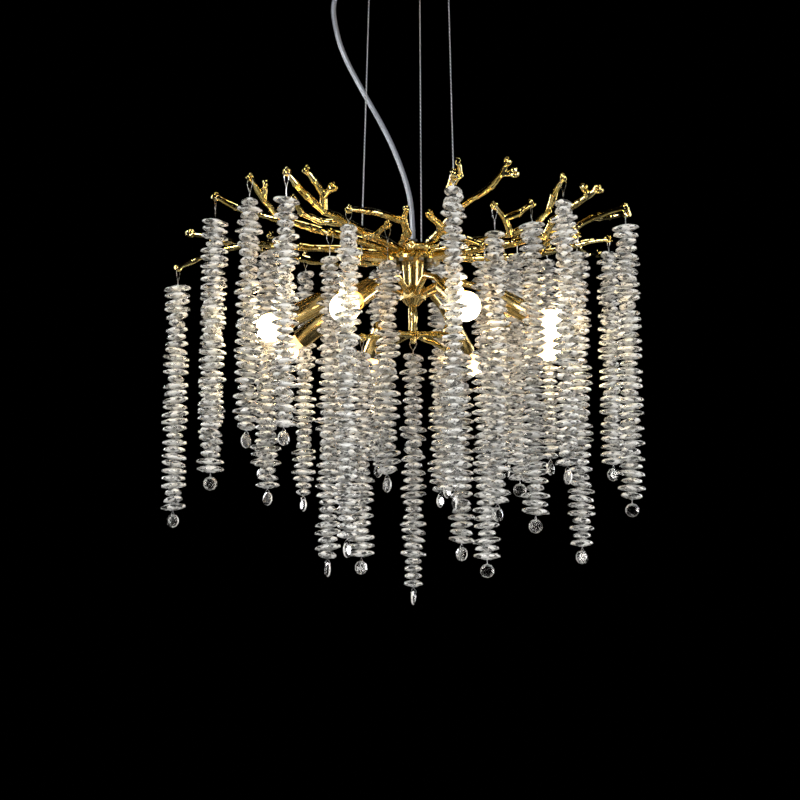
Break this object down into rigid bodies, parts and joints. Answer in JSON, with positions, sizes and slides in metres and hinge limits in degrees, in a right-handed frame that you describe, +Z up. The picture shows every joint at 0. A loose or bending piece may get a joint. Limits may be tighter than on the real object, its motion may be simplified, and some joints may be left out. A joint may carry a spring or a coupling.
{
  "type": "branch chandelier with crystal strands",
  "caption": "Ceiling chandelier: gold cast branches on a hub hung by steel ropes, round lamps, and long swinging strands of cut glass beads hooked in the twigs' eyelets.",
  "frame": {"origin": "middle of the mounting bar's top face, which lies against the ceiling", "axes": "+Z up to the ceiling, +X to the viewer's right, -Y towards the viewer"},
  "size_m": [0.597, 0.475, 0.8768],
  "materials": {
    "gold": "polished gold",
    "gold_satin": "satin gold",
    "zinc_steel": "zinc plated",
    "rope": "stranded steel",
    "terminal": "matte",
    "insulator": "matte",
    "clear_grip": "clear",
    "cord": "clear over a bright braid",
    "bulb": "lit",
    "crystal": "cut clear glass"
  },
  "bodies": {
    "frame": {"ceiling_canopy": "gold_satin", "mounting_bar": "zinc_steel", "canopy_screws": "gold", "terminal_block": "terminal", "wire_grippers": "gold", "suspension_ropes": "rope", "wire_ferrules": "gold", "cord_grip": "clear_grip", "power_cord": "cord", "stem_tube": "gold", "stem_bushing": "insulator", "hub_plate": "gold", "hub_column": "gold", "lamp_boss": "gold", "branch_screws": "zinc_steel", "lamp_arms": "gold", "lamp_sleeves": "gold", "lamp_sockets": "insulator", "lamp_bulbs": "bulb", "lower_branch": "gold", "branch_left": "gold", "branch_left_front": "gold", "branch_front_left": "gold", "branch_front": "gold", "branch_front_right": "gold", "branch_right_front": "gold", "branch_right": "gold", "branch_right_back": "gold", "branch_back": "gold", "branch_left_back": "gold"},
    "strand_01": {"strand_01": "crystal"},
    "strand_02": {"strand_02": "crystal"},
    "strand_03": {"strand_03": "crystal"},
    "strand_04": {"strand_04": "crystal"},
    "strand_05": {"strand_05": "crystal"},
    "strand_06": {"strand_06": "crystal"},
    "strand_07": {"strand_07": "crystal"},
    "strand_08": {"strand_08": "crystal"},
    "strand_09": {"strand_09": "crystal"},
    "strand_10": {"strand_10": "crystal"},
    "strand_11": {"strand_11": "crystal"},
    "strand_12": {"strand_12": "crystal"},
    "strand_13": {"strand_13": "crystal"},
    "strand_14": {"strand_14": "crystal"},
    "strand_15": {"strand_15": "crystal"},
    "strand_16": {"strand_16": "crystal"},
    "strand_17": {"strand_17": "crystal"},
    "strand_18": {"strand_18": "crystal"},
    "strand_19": {"strand_19": "crystal"},
    "strand_20": {"strand_20": "crystal"},
    "strand_21": {"strand_21": "crystal"},
    "strand_22": {"strand_22": "crystal"},
    "strand_23": {"strand_23": "crystal"},
    "strand_24": {"strand_24": "crystal"},
    "strand_25": {"strand_25": "crystal"},
    "strand_26": {"strand_26": "crystal"},
    "strand_27": {"strand_27": "crystal"},
    "strand_28": {"strand_28": "crystal"},
    "strand_29": {"strand_29": "crystal"},
    "strand_30": {"strand_30": "crystal"}
  },
  "joints": [
    {"name": "strand_01_swing", "type": "hinge", "parent": "frame", "child": "strand_01", "pos_m": [-0.299, 0.015, -0.446], "axis": [-0.3939, -0.9191, 0], "range_deg": [-8, 8]},
    {"name": "strand_02_swing", "type": "hinge", "parent": "frame", "child": "strand_02", "pos_m": [-0.244, -0.07, -0.377], "axis": [0.3162, -0.9487, 0], "range_deg": [-8, 8]},
    {"name": "strand_03_swing", "type": "hinge", "parent": "frame", "child": "strand_03", "pos_m": [-0.195, -0.146, -0.376], "axis": [0.8137, -0.5812, 0], "range_deg": [-8, 7.2]},
    {"name": "strand_04_swing", "type": "hinge", "parent": "frame", "child": "strand_04", "pos_m": [-0.148, -0.198, -0.385], "axis": [0.7071, -0.7071, 0], "range_deg": [-8, 8]},
    {"name": "strand_05_swing", "type": "hinge", "parent": "frame", "child": "strand_05", "pos_m": [-0.181, 0.01, -0.404], "axis": [-0.7295, -0.6839, 0], "range_deg": [-8, 7.4]},
    {"name": "strand_06_swing", "type": "hinge", "parent": "frame", "child": "strand_06", "pos_m": [-0.145, 0.165, -0.39], "axis": [-0.8654, -0.501, 0], "range_deg": [-8, 8]},
    {"name": "strand_07_swing", "type": "hinge", "parent": "frame", "child": "strand_07", "pos_m": [-0.102, -0.08, -0.425], "axis": [0.9285, 0.3714, 0], "range_deg": [-8, 7.1]},
    {"name": "strand_08_swing", "type": "hinge", "parent": "frame", "child": "strand_08", "pos_m": [-0.075, -0.215, -0.435], "axis": [0.9087, -0.4175, 0], "range_deg": [-8, 7.5]},
    {"name": "strand_09_swing", "type": "hinge", "parent": "frame", "child": "strand_09", "pos_m": [-0.063, -0.046, -0.55], "axis": [0.548, -0.8365, 0], "range_deg": [-2.9, 6]},
    {"name": "strand_10_swing", "type": "hinge", "parent": "frame", "child": "strand_10", "pos_m": [-0.031, -0.15, -0.435], "axis": [0.848, 0.53, 0], "range_deg": [-8, 4.6]},
    {"name": "strand_11_swing", "type": "hinge", "parent": "frame", "child": "strand_11", "pos_m": [0, -0.028, -0.549], "axis": [0.9701, -0.2425, 0], "range_deg": [-8, 8]},
    {"name": "strand_12_swing", "type": "hinge", "parent": "frame", "child": "strand_12", "pos_m": [0.045, -0.215, -0.392], "axis": [0.9916, 0.1293, 0], "range_deg": [-8, 2.4]},
    {"name": "strand_13_swing", "type": "hinge", "parent": "frame", "child": "strand_13", "pos_m": [0.058, -0.05, -0.552], "axis": [0.6283, 0.7779, 0], "range_deg": [-4.7, 5.7]},
    {"name": "strand_14_swing", "type": "hinge", "parent": "frame", "child": "strand_14", "pos_m": [0.086, -0.1, -0.447], "axis": [-0.0384, 0.9993, 0], "range_deg": [-7.2, 8]},
    {"name": "strand_15_swing", "type": "hinge", "parent": "frame", "child": "strand_15", "pos_m": [0.096, -0.15, -0.412], "axis": [0.6783, -0.7348, 0], "range_deg": [-2.3, 0.8]},
    {"name": "strand_16_swing", "type": "hinge", "parent": "frame", "child": "strand_16", "pos_m": [0.132, -0.005, -0.415], "axis": [-0.0357, 0.9994, 0], "range_deg": [-8, 8]},
    {"name": "strand_17_swing", "type": "hinge", "parent": "frame", "child": "strand_17", "pos_m": [0.141, -0.134, -0.405], "axis": [-0.1961, 0.9806, 0], "range_deg": [-8, 0.8]},
    {"name": "strand_18_swing", "type": "hinge", "parent": "frame", "child": "strand_18", "pos_m": [0.176, -0.168, -0.383], "axis": [0.8944, 0.4472, 0], "range_deg": [-8, 1.9]},
    {"name": "strand_19_swing", "type": "hinge", "parent": "frame", "child": "strand_19", "pos_m": [0.205, -0.03, -0.415], "axis": [-0.3328, 0.943, 0], "range_deg": [-8, 8]},
    {"name": "strand_20_swing", "type": "hinge", "parent": "frame", "child": "strand_20", "pos_m": [0.256, 0.06, -0.396], "axis": [-0.2747, 0.9615, 0], "range_deg": [-8, 8]},
    {"name": "strand_21_swing", "type": "hinge", "parent": "frame", "child": "strand_21", "pos_m": [0.263, -0.06, -0.388], "axis": [0.1448, 0.9895, 0], "range_deg": [-8, 4.6]},
    {"name": "strand_22_swing", "type": "hinge", "parent": "frame", "child": "strand_22", "pos_m": [-0.263, 0.095, -0.388], "axis": [0.251, -0.968, 0], "range_deg": [-8, 8]},
    {"name": "strand_23_swing", "type": "hinge", "parent": "frame", "child": "strand_23", "pos_m": [-0.199, 0.15, -0.38], "axis": [-0.53, -0.848, 0], "range_deg": [-8, 8]},
    {"name": "strand_24_swing", "type": "hinge", "parent": "frame", "child": "strand_24", "pos_m": [-0.096, 0.215, -0.377], "axis": [-0.7433, -0.669, 0], "range_deg": [-8, 4.9]},
    {"name": "strand_25_swing", "type": "hinge", "parent": "frame", "child": "strand_25", "pos_m": [-0.048, 0.225, -0.374], "axis": [-0.9662, -0.2577, 0], "range_deg": [-8, 5]},
    {"name": "strand_26_swing", "type": "hinge", "parent": "frame", "child": "strand_26", "pos_m": [0.038, 0.19, -0.376], "axis": [-0.8321, 0.5547, 0], "range_deg": [-8, 8]},
    {"name": "strand_27_swing", "type": "hinge", "parent": "frame", "child": "strand_27", "pos_m": [0.128, 0.165, -0.383], "axis": [-0.9874, -0.158, 0], "range_deg": [-8, 5.9]},
    {"name": "strand_28_swing", "type": "hinge", "parent": "frame", "child": "strand_28", "pos_m": [0.182, 0.13, -0.385], "axis": [-0.7507, 0.6606, 0], "range_deg": [-8, 6.4]},
    {"name": "strand_29_swing", "type": "hinge", "parent": "frame", "child": "strand_29", "pos_m": [0.044, 0.06, -0.544], "axis": [-0.8137, 0.5812, 0], "range_deg": [-8, 8]},
    {"name": "strand_30_swing", "type": "hinge", "parent": "frame", "child": "strand_30", "pos_m": [-0.044, 0.055, -0.545], "axis": [-0.7962, -0.6051, 0], "range_deg": [-8, 8]}
  ]
}
